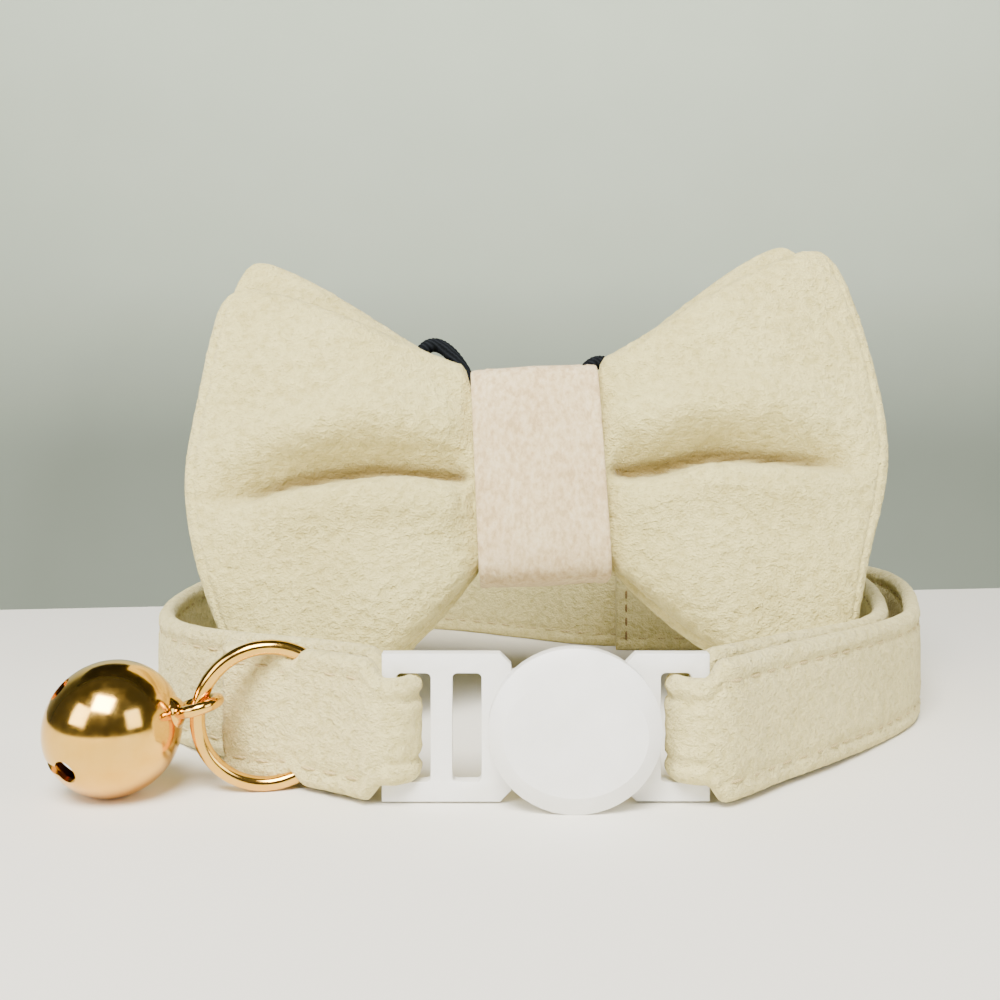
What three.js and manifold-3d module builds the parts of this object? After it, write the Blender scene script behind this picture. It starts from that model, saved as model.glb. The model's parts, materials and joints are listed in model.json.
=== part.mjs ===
// A velvet pet collar with a breakaway buckle, a ring with a bell, and a bow tie.
// Millimetres, +Z up, the buckle's face towards -Y. The collar stands on its lower edge.
// The plan is drawn with x = 0 at the middle of the buckle and y = 0 at the strap's front face,
// and the whole group is centred over its own footprint at the end.

import * as THREE from 'three';
import { mergeVertices } from 'three/addons/utils/BufferGeometryUtils.js';
import Module from 'manifold-3d';

const wasm = await Module();
wasm.setup();

// ---- driving dimensions ----

const GAP = 0.3;                    // clearance between pieces

const STRAP = {
  width: 14,
  thick: 2,
  slotWidth: 10.4,                  // the strap bunches up to this where it passes a bar
  bend: 2.2,                        // radius of its middle line around a bar
  taperFrom: 0.9,                   // it widens again between these two distances past a bar
  taperTo: 2.8,
  lift: 0.5,                        // the buckle holds its lower edge this far off the ground
  liftFrom: 8,                      // full lift in front of this y
  liftTo: 24,                       // no lift behind this y
  step: 4,                          // length of one facet
};

const BUCKLE = {
  height: 14.5,
  thick: 1.6,
  middle: 0.4,                      // y of the middle of its frames
  left: -18.8,
  right: 13.6,
  slotHeight: 10.7,
  slotRadius: 0.5,
  notch: 1.1,                       // chamfer where a frame meets the round body
};
const SOCKET_SLOTS = [
  { from: -17.4, to: -14.0 },
  { from: -11.9, to: -9.0 },
];
const PLUG_SLOT = { from: 8.6, to: 11.6 };

const DISC = {
  rx: 8.35,
  rz: 7.95,
  up: 0.45,                         // its middle is this far above the middle of the frames
  front: -3.5,
  rim: -1.9,                        // y where the full-size rim ends
  back: 2.4,
  faceX: 6.9,
  faceZ: 5.8,
  faceDown: 0.3,                    // the flat face sits this much below the middle
  raise: 0.9,                       // the flat face stands this far in front of the rim
  step: 0.9,                        // the back of the body is this much smaller
};
const TONGUE = { from: -3.2, to: 5.1, half: 4.9, slit: 2.4 };

const RING = { x: -30.8, y: 3.5, radius: 6.93, wire: 0.75, turn: 11 };
const BELL = { radius: 6.75, wall: 0.5, slit: 1.1, slitReach: 60, boss: 1.4 };
const EYE = { radius: 1.95, wire: 0.62, reach: 8.9, height: 9.0 };

const BOW = {
  x: -2.2,
  y: 35,
  z: 30.4,
  lean: 15,                         // degrees back from upright
  tilt: 2.7,                        // degrees, right side up
  pinchHalf: 8.2,                   // half the length under the knot
  pinchHeight: 11.7,                // half its height there
  gap: 0.15,                        // half the gap between the two sleeves
  wall: 1.3,
  creaseWidth: 0.15,
  creaseDepth: 0.72,
};
const KNOT = { width: 16.4, height: 28, depth: 11.4, wall: 1.7, corner: 3.4 };
const ELASTIC = { wire: 1, halfWidth: 4.2, halfHeight: 11, y: 8.6 };
// The two loops behind the bow; the lean is in degrees, to the right.
const ELASTIC_LOOPS = {
  elastic_loop_left: { x: -11.5, z: 10.7, lean: -12 },
  elastic_loop_right: { x: 9.2, z: 6.8, lean: 4 },
};

// The middle line of the strap, seen from above. "inner" is the doubled length on the right,
// from its stitched end at the back to the buckle; "outer" is the loop itself, from the
// buckle's right bar round to its left bar; "flap" is the short doubled end on the left.
const INNER_LINE = [
  { x: 11.8, y: 72.9 },
  { x: 21.8, y: 72.6 },
  { x: 31.8, y: 73.6 },
  { x: 40.3, y: 73.3 },
  { x: 45.8, y: 70.0 },
  { x: 47.8, y: 63.5 },
  { x: 47.0, y: 55.0 },
  { x: 45.2, y: 46.0 },
  { x: 43.0, y: 38.0 },
  { x: 40.9, y: 31.5 },
  { x: 38.2, y: 26.2 },
  { x: 33.6, y: 20.8 },
  { x: 26.1, y: 13.9 },
  { x: 18.4, y: 7.0 },
];
const OUTER_LINE = [
  { x: 14.6, y: -1.3 },
  { x: 17.0, y: 0.6 },
  { x: 20.6, y: 4.1 },
  { x: 28.2, y: 10.9 },
  { x: 37.0, y: 20.4 },
  { x: 43.9, y: 29.4 },
  { x: 48.3, y: 41.2 },
  { x: 50.8, y: 49.3 },
  { x: 52.9, y: 60.1 },
  { x: 53.0, y: 67.0 },
  { x: 51.1, y: 73.5 },
  { x: 45.8, y: 77.0 },
  { x: 37.8, y: 77.3 },
  { x: 29.8, y: 76.7 },
  { x: 21.8, y: 75.7 },
  { x: 12.8, y: 75.9 },
  { x: 5.3, y: 78.0 },
  { x: -4.2, y: 83.6 },
  { x: -15.2, y: 89.8 },
  { x: -25.2, y: 92.4 },
  { x: -35.2, y: 90.6 },
  { x: -43.2, y: 84.0 },
  { x: -48.4, y: 74.0 },
  { x: -50.3, y: 64.0 },
  { x: -50.8, y: 54.0 },
  { x: -50.9, y: 46.0 },
  { x: -50.5, y: 39.0 },
  { x: -49.6, y: 33.0 },
  { x: -47.8, y: 26.6 },
  { x: -44.5, y: 20.8 },
  { x: -39.2, y: 15.2 },
  { x: -32.0, y: 11.0 },
  { x: -25.0, y: 7.7 },
  { x: -21.2, y: 5.3 },
];
const FLAP_LINE = [
  { x: -22.9, y: 1.2 },
  { x: -26.9, y: 3.5 },
  { x: -33.9, y: 6.9 },
  { x: -35.8, y: 8.0 },
];

// Outer edge of the bow's wings, by height from bottom (-1) to top (1), measured from the knot.
const FRONT_EDGE = [
  { at: -1, left: 35.4, right: 36.0 },
  { at: -0.5, left: 42.2, right: 40.4 },
  { at: 0, left: 45.3, right: 45.0 },
  { at: 0.5, left: 43.6, right: 44.4 },
  { at: 1, left: 41.0, right: 41.4 },
];
const BACK_EDGE = [
  { at: -1, left: 35.0, right: 35.6 },
  { at: -0.5, left: 41.8, right: 40.0 },
  { at: 0, left: 44.9, right: 44.6 },
  { at: 0.5, left: 42.8, right: 42.8 },
  { at: 1, left: 39.3, right: 37.9 },
];
// Half heights of each sleeve at its outer edge, below and above the fold.
const SLEEVES = {
  bow_front: { side: -1, edge: FRONT_EDGE, below: 28.4, aboveLeft: 27.8, aboveRight: 29.8, slit: 1 },
  bow_back: { side: 1, edge: BACK_EDGE, below: 28.4, aboveLeft: 33.4, aboveRight: 32.3, slit: -1 },
};
const SPREAD = { above: 1.42, below: 2.0 };   // how fast a wing opens out from the knot
const BLUNT = 1.5;                            // its corners are rounded off by this much
// Thickness of one sleeve from the knot (0) to the outer edge (1).
const SLEEVE_THICKNESS = [
  { along: 0, thick: 3.4 },
  { along: 0.12, thick: 4.9 },
  { along: 0.4, thick: 6.3 },
  { along: 0.75, thick: 4.9 },
  { along: 1, thick: 3.4 },
];

// ---- materials ----

function material(color, roughness, metalness = 0) {
  return new THREE.MeshStandardMaterial({ color, roughness, metalness });
}

const velvet = () => material(0xddd6b2, 0.95);
const suede = () => material(0xe4d8c6, 0.95);
const plastic = () => material(0xf0eee6, 0.35);
const gold = () => material(0xe0a860, 0.18, 1);
const elastic = () => material(0x14161a, 0.8);

// ---- small helpers ----

function smooth(low, high, value) {
  return THREE.MathUtils.smoothstep(value, low, high);
}

// Reads a table at one value, through a smooth curve over its rows.
function lookUp(table, key, column, value) {
  let row = 1;
  while (row < table.length - 1 && table[row][key] < value) row += 1;
  const slope = (i) => {
    const a = table[Math.max(i - 1, 0)];
    const b = table[Math.min(i + 1, table.length - 1)];
    return (b[column] - a[column]) / (b[key] - a[key]);
  };
  const low = table[row - 1];
  const high = table[row];
  const span = high[key] - low[key];
  const t = (value - low[key]) / span;
  const rise = high[column] - low[column];
  const bendIn = slope(row - 1) * span - rise;
  const bendOut = rise - slope(row) * span;
  return low[column] + t * rise + t * (1 - t) * ((1 - t) * bendIn + t * bendOut);
}

function toSolid(geometry) {
  const bare = new THREE.BufferGeometry();
  bare.setAttribute('position', geometry.getAttribute('position'));
  bare.setIndex(geometry.getIndex());
  const merged = mergeVertices(bare, 1e-4);
  const index = merged.getIndex().array;
  const triVerts = [];
  for (let i = 0; i < index.length; i += 3) {
    const [a, b, c] = [index[i], index[i + 1], index[i + 2]];
    if (a !== b && b !== c && c !== a) triVerts.push(a, b, c);
  }
  return new wasm.Manifold(new wasm.Mesh({
    numProp: 3,
    vertProperties: Float32Array.from(merged.getAttribute('position').array),
    triVerts: Uint32Array.from(triVerts),
  }));
}

function toGeometry(solid) {
  const mesh = solid.getMesh();
  const positions = new Float32Array((mesh.vertProperties.length / mesh.numProp) * 3);
  for (let i = 0; i < positions.length / 3; i += 1) {
    for (let k = 0; k < 3; k += 1) positions[3 * i + k] = mesh.vertProperties[mesh.numProp * i + k];
  }
  const geometry = new THREE.BufferGeometry();
  geometry.setAttribute('position', new THREE.BufferAttribute(positions, 3));
  geometry.setIndex(new THREE.BufferAttribute(Uint32Array.from(mesh.triVerts), 1));
  geometry.computeVertexNormals();
  return geometry;
}

function boxSolid(x0, x1, y0, y1, z0, z1) {
  const box = new THREE.BoxGeometry(x1 - x0, y1 - y0, z1 - z0);
  box.translate((x0 + x1) / 2, (y0 + y1) / 2, (z0 + z1) / 2);
  return toSolid(box);
}

// A flat outline in x and z, from y0 back to y1.
function plateSolid(shape, y0, y1, curveSegments = 6) {
  const plate = new THREE.ExtrudeGeometry(shape, { depth: y1 - y0, bevelEnabled: false, curveSegments });
  plate.rotateX(Math.PI / 2);
  plate.translate(0, y1, 0);
  return toSolid(plate);
}

// A closed surface between two grids of points that meet along their rims.
function closedGrid(point, columns, rows) {
  const positions = [];
  const index = [];
  const stride = rows + 1;
  const back = (columns + 1) * stride;
  for (const side of [-1, 1]) {
    for (let i = 0; i <= columns; i += 1) {
      for (let j = 0; j <= rows; j += 1) {
        const u = Math.sin((i / columns - 0.5) * Math.PI * 0.999) / Math.sin(Math.PI * 0.4995);
        const v = Math.sin((j / rows - 0.5) * Math.PI * 0.999) / Math.sin(Math.PI * 0.4995);
        positions.push(...point(u, v, side));
      }
    }
  }
  for (let i = 0; i < columns; i += 1) {
    for (let j = 0; j < rows; j += 1) {
      const a = i * stride + j;
      const [b, c, d] = [a + stride, a + stride + 1, a + 1];
      index.push(a, b, c, a, c, d);
      index.push(back + a, back + c, back + b, back + a, back + d, back + c);
    }
  }
  const geometry = new THREE.BufferGeometry();
  geometry.setAttribute('position', new THREE.Float32BufferAttribute(positions, 3));
  geometry.setIndex(index);
  return geometry;
}

// ---- strap ----

function strapLine() {
  const points = [];
  const spread = (rows) => rows.forEach((row) => points.push(new THREE.Vector3(row.x, row.y, 0)));
  const turn = (x, from, to) => {
    for (let k = 0; k <= 4; k += 1) {
      const angle = from + ((to - from) * k) / 4;
      points.push(new THREE.Vector3(
        x + STRAP.bend * Math.cos(angle),
        BUCKLE.middle + STRAP.bend * Math.sin(angle),
        0,
      ));
    }
  };
  spread(INNER_LINE);
  turn(rightBend(), Math.PI / 2, Math.PI * 1.5);
  spread(OUTER_LINE);
  turn(leftBend(), Math.PI / 2, -Math.PI / 2);
  spread(FLAP_LINE);
  return new THREE.CatmullRomCurve3(points, false, 'centripetal');
}

function rightBend() {
  return (PLUG_SLOT.to + BUCKLE.right - 0.8) / 2 + 0.1;
}

function leftBend() {
  return (BUCKLE.left + SOCKET_SLOTS[0].from) / 2;
}

function strapLift(y) {
  return STRAP.lift * (1 - smooth(STRAP.liftFrom, STRAP.liftTo, y));
}

function strapHalfWidth(x, y) {
  if (y > STRAP.liftTo) return STRAP.width / 2;
  const past = x < 0 ? leftBend() - x : x - rightBend();
  const widen = smooth(STRAP.taperFrom, STRAP.taperTo, past);
  return THREE.MathUtils.lerp(STRAP.slotWidth, STRAP.width, widen) / 2;
}

function strapSolid() {
  const line = strapLine();
  const length = line.getLength();
  const fine = 2 * Math.PI * STRAP.bend / 20;
  const left = [];
  const right = [];
  let s = 0;
  while (s <= length) {
    const u = Math.min(s / length, 1);
    const p = line.getPointAt(u);
    const t = line.getTangentAt(u);
    const side = new THREE.Vector3(-t.y, t.x, 0).multiplyScalar(STRAP.thick / 2);
    left.push(new THREE.Vector2(p.x + side.x, p.y + side.y));
    right.push(new THREE.Vector2(p.x - side.x, p.y - side.y));
    const nearBuckle = p.y < STRAP.liftFrom + 2 && Math.abs(p.x) < 26;
    s += nearBuckle ? fine : STRAP.step;
  }
  const shape = new THREE.Shape([...left, ...right.reverse()]);
  const strip = new THREE.ExtrudeGeometry(shape, { depth: 1, bevelEnabled: false });
  const position = strip.getAttribute('position');
  for (let i = 0; i < position.count; i += 1) {
    const x = position.getX(i);
    const y = position.getY(i);
    const middle = STRAP.width / 2 + strapLift(y);
    const half = strapHalfWidth(x, y);
    position.setZ(i, position.getZ(i) > 0.5 ? middle + half : middle - half);
  }
  return toSolid(strip).subtract(slotEnds()).subtract(ringSolid(RING.wire + GAP));
}

// What the strap leaves free above and below itself where it goes through a slot.
function slotEnds() {
  const middle = STRAP.width / 2 + STRAP.lift;
  const low = middle - BUCKLE.slotHeight / 2 + 0.1;
  const high = middle + BUCKLE.slotHeight / 2 - 0.1;
  const [front, back] = [FRAME_FRONT - 0.1, FRAME_BACK + 0.1];
  const ends = [SOCKET_SLOTS[0], PLUG_SLOT].map(({ from, to }) => (
    boxSolid(from - 0.2, to + 0.2, front, back, -1, low)
      .add(boxSolid(from - 0.2, to + 0.2, front, back, high, STRAP.width + 2))
  ));
  return ends[0].add(ends[1]);
}

// ---- buckle ----

const BUCKLE_Z = STRAP.width / 2 + STRAP.lift;

// A frame's outline from x0 to x1 with chamfered corners at the end that meets the round body.
function frameShape(x0, x1, bodyAtRight, slots) {
  const half = BUCKLE.height / 2;
  const n = BUCKLE.notch;
  const outline = bodyAtRight
    ? [[x0, -half], [x1 - n, -half], [x1, n - half], [x1, half - n], [x1 - n, half], [x0, half]]
    : [[x0 + n, -half], [x1, -half], [x1, half], [x0 + n, half], [x0, half - n], [x0, n - half]];
  const shape = new THREE.Shape(outline.map(([x, z]) => new THREE.Vector2(x, z)));
  for (const slot of slots) shape.holes.push(roundedSlot(slot));
  return shape;
}

function roundedSlot({ from, to }) {
  const r = BUCKLE.slotRadius;
  const half = BUCKLE.slotHeight / 2;
  const hole = new THREE.Path();
  hole.moveTo(from + r, -half);
  hole.lineTo(to - r, -half);
  hole.absarc(to - r, r - half, r, -Math.PI / 2, 0);
  hole.lineTo(to, half - r);
  hole.absarc(to - r, half - r, r, 0, Math.PI / 2);
  hole.lineTo(from + r, half);
  hole.absarc(from + r, half - r, r, Math.PI / 2, Math.PI);
  hole.lineTo(from, r - half);
  hole.absarc(from + r, r - half, r, Math.PI, Math.PI * 1.5);
  return hole;
}

const FRAME_FRONT = BUCKLE.middle - BUCKLE.thick / 2;
const FRAME_BACK = BUCKLE.middle + BUCKLE.thick / 2;
const FRAME_MEETS_BODY = 6.1;

// The round body: sections from front to back, each an ellipse.
function discSolid() {
  const sections = [
    { y: DISC.front - DISC.raise, rx: DISC.faceX, rz: DISC.faceZ, down: DISC.faceDown },
    { y: DISC.front, rx: DISC.rx, rz: DISC.rz, down: 0 },
    { y: DISC.rim, rx: DISC.rx, rz: DISC.rz, down: 0 },
    { y: DISC.rim + 0.3, rx: DISC.rx - DISC.step, rz: DISC.rz - DISC.step, down: 0 },
    { y: DISC.back, rx: DISC.rx - DISC.step, rz: DISC.rz - DISC.step, down: 0 },
  ];
  const profile = [new THREE.Vector2(0, 0)];
  sections.forEach((section, k) => profile.push(new THREE.Vector2(1, k)));
  profile.push(new THREE.Vector2(0, sections.length - 1));
  const disc = new THREE.LatheGeometry(profile, 48);
  const position = disc.getAttribute('position');
  for (let i = 0; i < position.count; i += 1) {
    const section = sections[Math.round(position.getY(i))];
    const [across, up] = [position.getX(i), position.getZ(i)];
    position.setXYZ(
      i,
      across * section.rx,
      section.y,
      up * section.rz + DISC.up - section.down,
    );
  }
  return toSolid(disc);
}

function socketSolid() {
  const frame = plateSolid(
    frameShape(BUCKLE.left, -FRAME_MEETS_BODY, true, SOCKET_SLOTS),
    FRAME_FRONT,
    FRAME_BACK,
  );
  const web = boxSolid(-FRAME_MEETS_BODY - 1, -2, FRAME_FRONT, FRAME_BACK, -5.5, 5.5);
  const pocket = boxSolid(
    TONGUE.from - GAP,
    BUCKLE.right,
    FRAME_FRONT - GAP,
    FRAME_BACK + GAP,
    -TONGUE.half - GAP,
    TONGUE.half + GAP,
  );
  const mouth = boxSolid(
    TONGUE.to - GAP,
    BUCKLE.right,
    FRAME_FRONT - GAP,
    FRAME_BACK + GAP,
    -BUCKLE.height,
    BUCKLE.height,
  );
  return frame.add(web).add(discSolid()).subtract(pocket).subtract(mouth);
}

function plugSolid() {
  const frame = plateSolid(
    frameShape(TONGUE.to, BUCKLE.right - 0.2, false, [PLUG_SLOT]),
    FRAME_FRONT,
    FRAME_BACK,
  );
  const tongue = boxSolid(
    TONGUE.from,
    TONGUE.to + 1,
    FRAME_FRONT,
    FRAME_BACK,
    -TONGUE.half,
    TONGUE.half,
  );
  const slit = boxSolid(
    TONGUE.from - 1,
    TONGUE.to - 2,
    FRAME_FRONT - 1,
    FRAME_BACK + 1,
    -TONGUE.slit,
    TONGUE.slit,
  );
  return frame.add(tongue.subtract(slit));
}

// ---- ring and bell ----

function ringSolid(wire) {
  const ring = new THREE.TorusGeometry(RING.radius, wire, 8, 36);
  ring.rotateX(Math.PI / 2);
  ring.rotateZ(THREE.MathUtils.degToRad(RING.turn));
  ring.translate(RING.x, RING.y, RING.radius + RING.wire);
  return toSolid(ring);
}

// Where the bell's eye goes round the ring, on the ring's free side.
function eyeCentre() {
  const turn = THREE.MathUtils.degToRad(RING.turn);
  const rise = EYE.height - RING.radius - RING.wire;
  const out = Math.sqrt(RING.radius ** 2 - rise ** 2);
  return new THREE.Vector3(
    RING.x - out * Math.cos(turn),
    RING.y - out * Math.sin(turn),
    EYE.height,
  );
}

// Made along +X with its centre at the origin, then leaned up to the ring.
function bellSolid() {
  const shell = toSolid(new THREE.SphereGeometry(BELL.radius, 32, 18))
    .subtract(toSolid(new THREE.SphereGeometry(BELL.radius - BELL.wall, 24, 12)));
  const start = -BELL.radius * Math.cos(THREE.MathUtils.degToRad(BELL.slitReach));
  const half = BELL.slit / 2;
  const far = -BELL.radius - 1;
  const slits = boxSolid(far, start, -half, half, -BELL.radius, BELL.radius)
    .add(boxSolid(far, start, -BELL.radius, BELL.radius, -half, half));
  const eye = new THREE.TorusGeometry(EYE.radius, EYE.wire, 8, 24);
  eye.translate(EYE.reach, 0, 0);
  const boss = new THREE.CylinderGeometry(BELL.boss * 0.7, BELL.boss, 0.9, 16);
  boss.rotateZ(-Math.PI / 2);
  boss.translate(BELL.radius + 0.15, 0, 0);
  const whole = shell.subtract(slits).add(toSolid(boss)).add(toSolid(eye));
  const geometry = toGeometry(whole);
  const centre = eyeCentre();
  const rise = Math.asin((centre.z - BELL.radius) / EYE.reach);
  geometry.rotateY(-rise);
  geometry.translate(centre.x - EYE.reach * Math.cos(rise), centre.y, BELL.radius);
  return toSolid(geometry);
}

// ---- bow ----

// One point of a sleeve: u runs from the left edge (-1) to the right (1), v from bottom to top,
// and side is -1 on its front wall and 1 on its back wall. An inset makes the hollow inside.
function sleevePoint(sleeve, u, v, side, inset) {
  const wing = u < 0 ? 'left' : 'right';
  const pinch = BOW.pinchHalf / 45;
  const reach = Math.abs(u);
  const along = Math.max(0, (reach - pinch) / (1 - pinch));
  const corner = BLUNT * (v ** 12) * (along ** 12);
  const edge = lookUp(sleeve.edge, 'at', wing, v) - inset;
  const x = Math.sign(u) * (reach < pinch
    ? (reach / pinch) * BOW.pinchHalf
    : BOW.pinchHalf + along * (edge - BOW.pinchHalf) - corner);

  const above = u < 0 ? sleeve.aboveLeft : sleeve.aboveRight;
  const outer = v > 0 ? above : sleeve.below;
  const spread = 1 - (1 - along) ** (v > 0 ? SPREAD.above : SPREAD.below);
  const height = BOW.pinchHeight + (outer - BOW.pinchHeight) * spread - inset - corner;
  const z = v * height;

  const crease = BOW.creaseDepth * (1 - smooth(0.5, 0.95, along)) * smooth(0, 0.1, along);
  const full = lookUp(SLEEVE_THICKNESS, 'along', 'thick', along);
  const dent = 1 - crease * Math.exp(-((v / BOW.creaseWidth) ** 2));
  const thick = full * (0.35 + 0.65 * dent);
  const rim = Math.sqrt(Math.max(0, 1 - v ** 8)) * Math.sqrt(Math.max(0, 1 - along ** 14));
  const half = inset > 0 ? Math.max(thick / 2 - inset, 0.12) : thick / 2;
  const y = sleeve.side * (BOW.gap + thick / 2) + side * half * rim;
  return [x, y, z];
}

function sleeveSolid(sleeve) {
  const outside = toSolid(closedGrid((u, v, side) => sleevePoint(sleeve, u, v, side, 0), 36, 14));
  const hollow = toSolid(closedGrid(
    (u, v, side) => sleevePoint(sleeve, u, v, side, BOW.wall),
    24,
    8,
  ));
  const middle = sleeve.side * (BOW.gap + SLEEVE_THICKNESS[0].thick / 2);
  const ends = [middle, middle + sleeve.slit * 4].sort((a, b) => a - b);
  const slit = boxSolid(-1.2, 1.2, ends[0], ends[1], -7, 7);
  return outside.subtract(hollow).subtract(slit);
}

function roundedBox(width, height, r, Form) {
  const [x, y] = [width / 2, height / 2];
  const form = new Form();
  form.moveTo(r - x, -y);
  form.lineTo(x - r, -y);
  form.absarc(x - r, r - y, r, -Math.PI / 2, 0);
  form.lineTo(x, y - r);
  form.absarc(x - r, y - r, r, 0, Math.PI / 2);
  form.lineTo(r - x, y);
  form.absarc(r - x, y - r, r, Math.PI / 2, Math.PI);
  form.lineTo(-x, r - y);
  form.absarc(r - x, r - y, r, Math.PI, Math.PI * 1.5);
  return form;
}

function knotGeometry() {
  const band = roundedBox(KNOT.depth, KNOT.height, KNOT.corner, THREE.Shape);
  band.holes.push(roundedBox(
    KNOT.depth - 2 * KNOT.wall,
    KNOT.height - 2 * KNOT.wall,
    KNOT.corner - KNOT.wall,
    THREE.Path,
  ));
  const knot = new THREE.ExtrudeGeometry(band, {
    depth: KNOT.width,
    bevelEnabled: false,
    curveSegments: 8,
  });
  knot.translate(0, 0, -KNOT.width / 2);
  knot.rotateX(Math.PI / 2);
  knot.rotateZ(Math.PI / 2);
  return knot;
}

// A round wire bent into a tall oval: a torus whose ring is stretched, with the wire kept round.
function elasticGeometry(loop) {
  const { halfWidth, halfHeight, wire } = ELASTIC;
  const oval = new THREE.TorusGeometry(halfWidth, wire, 8, 32);
  const position = oval.getAttribute('position');
  for (let i = 0; i < position.count; i += 1) {
    const [x, y] = [position.getX(i), position.getY(i)];
    const angle = Math.atan2(y, x);
    const out = Math.hypot(x, y) - halfWidth;
    const normal = new THREE.Vector2(Math.cos(angle) / halfWidth, Math.sin(angle) / halfHeight);
    normal.normalize();
    position.setXY(
      i,
      halfWidth * Math.cos(angle) + out * normal.x,
      halfHeight * Math.sin(angle) + out * normal.y,
    );
  }
  oval.rotateX(Math.PI / 2);
  oval.rotateY(THREE.MathUtils.degToRad(loop.lean));
  oval.translate(loop.x, ELASTIC.y, loop.z);
  return toGeometry(toSolid(oval));
}

// ---- assembly ----

const collar = new THREE.Group();

function place(parent, name, shape, finish) {
  const geometry = shape instanceof THREE.BufferGeometry ? shape : toGeometry(shape);
  const mesh = new THREE.Mesh(geometry, finish);
  mesh.name = name;
  parent.add(mesh);
  return mesh;
}

const buckle = new THREE.Group();
buckle.position.z = BUCKLE_Z;
place(buckle, 'buckle_socket', socketSolid(), plastic());
place(buckle, 'buckle_plug', plugSolid(), plastic());

const bow = new THREE.Group();
bow.position.set(BOW.x, BOW.y, BOW.z);
bow.rotation.set(
  -THREE.MathUtils.degToRad(BOW.lean),
  -THREE.MathUtils.degToRad(BOW.tilt),
  0,
);
for (const [name, sleeve] of Object.entries(SLEEVES)) {
  place(bow, name, sleeveSolid(sleeve), velvet());
}
place(bow, 'bow_knot', knotGeometry(), suede());
for (const [name, loop] of Object.entries(ELASTIC_LOOPS)) {
  place(bow, name, elasticGeometry(loop), elastic());
}

place(collar, 'collar_strap', strapSolid(), velvet());
place(collar, 'bell_ring', ringSolid(RING.wire), gold());
place(collar, 'bell', bellSolid(), gold());
collar.add(buckle, bow);

// The origin is at the middle of the footprint, on the ground.
const bounds = new THREE.Box3().setFromObject(collar, true);
const middle = bounds.getCenter(new THREE.Vector3());
collar.position.set(-middle.x, -middle.y, -bounds.min.z);

const root = new THREE.Group();
root.add(collar);

export default root;
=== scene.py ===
"""Finish of the pet bow tie collar: velvet strap and bow, suede knot, plastic buckle, gold bell."""

import json
import math

import bmesh
import bpy
import numpy as np
from mathutils import Matrix, Vector, noise

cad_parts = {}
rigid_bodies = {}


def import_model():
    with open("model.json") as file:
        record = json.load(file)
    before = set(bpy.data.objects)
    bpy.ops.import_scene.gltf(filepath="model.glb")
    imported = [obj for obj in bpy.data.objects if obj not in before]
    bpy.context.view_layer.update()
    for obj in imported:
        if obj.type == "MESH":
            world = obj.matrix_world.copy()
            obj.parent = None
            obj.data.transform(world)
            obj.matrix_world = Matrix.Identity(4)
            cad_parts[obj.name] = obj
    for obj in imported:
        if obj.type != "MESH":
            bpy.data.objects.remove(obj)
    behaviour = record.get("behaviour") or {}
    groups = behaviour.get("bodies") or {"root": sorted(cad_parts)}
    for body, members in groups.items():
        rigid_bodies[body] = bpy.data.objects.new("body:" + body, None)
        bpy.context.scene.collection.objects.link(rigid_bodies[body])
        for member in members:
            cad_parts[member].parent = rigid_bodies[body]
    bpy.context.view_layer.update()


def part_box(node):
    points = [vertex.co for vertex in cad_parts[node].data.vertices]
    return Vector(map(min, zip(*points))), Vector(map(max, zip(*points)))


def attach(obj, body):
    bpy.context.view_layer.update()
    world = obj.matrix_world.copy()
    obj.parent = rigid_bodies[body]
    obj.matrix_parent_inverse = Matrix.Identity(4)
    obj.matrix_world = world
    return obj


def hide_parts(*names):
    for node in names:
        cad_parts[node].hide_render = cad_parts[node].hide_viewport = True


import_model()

MM = 0.001

# ---- sizes, in millimetres, as in the part's source ----

STRAP = {
    "width": 14.0,
    "thick": 2.0,
    "slot_width": 10.4,
    "bend": 2.2,
    "taper_from": 0.5,
    "taper_to": 2.2,
    "lift": 0.5,
    "lift_from": 8.0,
    "lift_to": 24.0,
}
BUCKLE = {"left": -18.8, "right": 13.6, "middle": 0.4, "slot_from": -17.4, "plug_slot_to": 11.6}
DISC_FACE_Y = -4.4
RING = {"x": -30.8, "y": 3.5, "radius": 6.93, "wire": 0.75, "turn": 11.0}
BELL = {"radius": 6.75, "wall": 0.5, "slit": 1.1, "slit_reach": 60.0, "hole": 1.25}
EYE = {"radius": 1.95, "wire": 0.62, "reach": 8.9, "height": 9.0}
BOW = {
    "at": (-2.2, 35.0, 30.4),
    "lean": 15.0,
    "tilt": 2.7,
    "pinch_half": 8.2,
    "pinch_height": 11.7,
    "gap": 0.15,
}
KNOT = {"width": 16.4, "height": 28.0, "depth": 11.4, "wall": 1.7}
ELASTIC = {"wire": 1.0, "half_width": 4.2, "half_height": 11.0, "y": 8.6}
ELASTIC_LOOPS = {
    "left": {"x": -11.5, "z": 10.7, "lean": -12.0},
    "right": {"x": 9.2, "z": 6.8, "lean": 4.0},
}
SLEEVES = {
    "front": {"side": -1, "below": 28.4, "left": 27.8, "right": 29.8, "seed": 3.1},
    "back": {"side": 1, "below": 28.4, "left": 33.4, "right": 32.3, "seed": 17.7},
}
WING_EDGES = {
    "at": (-1.0, -0.5, 0.0, 0.5, 1.0),
    "front": ((35.4, 42.2, 45.3, 43.6, 41.0), (36.0, 40.4, 45.0, 44.4, 41.4)),
    "back": ((35.0, 41.8, 44.9, 42.8, 39.3), (35.6, 40.0, 44.6, 42.8, 37.9)),
}
SPREAD = {"above": 1.42, "below": 2.0}
BLUNT = 1.5
CREASE = {
    "x": (-46.0, -36.9, -31.5, -27.3, -20.5, -15.0, -8.4, 8.6, 15.0, 21.8, 31.3, 40.4, 46.0),
    "up": (-2.2, -1.5, -0.3, 0.25, 0.7, 0.2, -0.65, -0.66, -0.45, 0.65, -0.2, -1.4, -2.0),
}
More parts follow.
